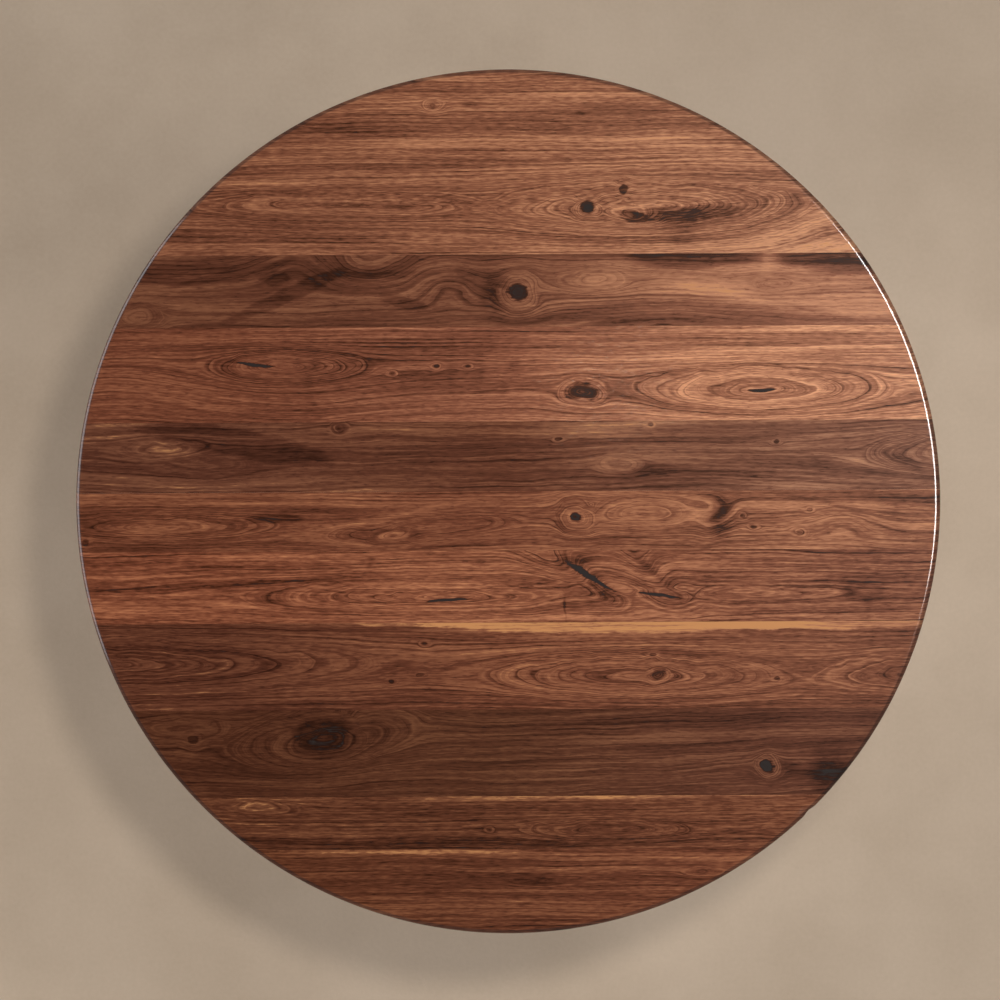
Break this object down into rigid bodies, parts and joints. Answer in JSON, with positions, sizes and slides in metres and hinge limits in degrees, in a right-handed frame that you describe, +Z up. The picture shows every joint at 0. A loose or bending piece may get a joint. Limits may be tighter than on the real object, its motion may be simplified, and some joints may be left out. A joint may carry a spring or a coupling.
{
  "type": "tilt top table",
  "caption": "Round pedestal table with an edge-glued walnut top that tilts up on a block and locks flat with a spring catch.",
  "frame": {"origin": "on the floor under the middle of the round top", "axes": "+Z up; +X along the boards; +Y towards the catch, the edge of the top that rises as it tilts"},
  "size_m": [1.067, 1.067, 0.762],
  "materials": {
    "walnut": "satin",
    "dark_walnut": "satin",
    "maple": "satin",
    "brass": "satin",
    "steel": "blackened",
    "nylon": "matt"
  },
  "bodies": {
    "base": {"column": "dark_walnut", "block": "dark_walnut", "tenon_wedge_1": "maple", "tenon_wedge_2": "maple", "leg_1": "dark_walnut", "leg_2": "dark_walnut", "leg_3": "dark_walnut", "leg_4": "dark_walnut", "foot_glide_1": "nylon", "foot_glide_2": "nylon", "foot_glide_3": "nylon", "foot_glide_4": "nylon", "spider_plate": "steel", "plate_screw_1": "steel", "plate_screw_2": "steel", "plate_screw_3": "steel", "plate_screw_4": "steel", "plate_screw_centre": "steel", "pivot_bolt_left": "brass", "pivot_bolt_right": "brass", "pivot_washer_left": "brass", "pivot_washer_right": "brass", "strike_plate": "brass", "strike_screw_1": "brass", "strike_screw_2": "brass"},
    "top": {"top_board_01": "walnut", "top_board_02": "walnut", "top_board_03": "walnut", "top_board_04": "walnut", "top_board_05": "walnut", "top_board_06": "walnut", "top_board_07": "walnut", "top_board_08": "walnut", "top_board_09": "walnut", "top_board_10": "walnut", "bearer_left": "dark_walnut", "bearer_right": "dark_walnut", "bearer_screw_left_1": "brass", "bearer_screw_left_2": "brass", "bearer_screw_left_3": "brass", "bearer_screw_left_4": "brass", "bearer_screw_left_5": "brass", "bearer_screw_right_1": "brass", "bearer_screw_right_2": "brass", "bearer_screw_right_3": "brass", "bearer_screw_right_4": "brass", "bearer_screw_right_5": "brass", "catch_case": "brass", "catch_screw_1": "brass", "catch_screw_2": "brass", "catch_screw_3": "brass", "catch_screw_4": "brass", "catch_spring": "steel"},
    "catch_bolt": {"catch_bolt": "brass", "catch_knob": "brass"}
  },
  "joints": [
    {"name": "top_tilt", "type": "hinge", "parent": "base", "child": "top", "pos_m": [0, -0.078, 0.7117], "axis": [1, 0, 0], "range_deg": [0, 90]},
    {"name": "catch_slide", "type": "slide", "parent": "top", "child": "catch_bolt", "axis": [0, 1, 0], "range_m": [0, 0.009], "stiffness_N_per_m": 300, "springref_m": -0.01, "deforming": ["catch_spring"]}
  ]
}
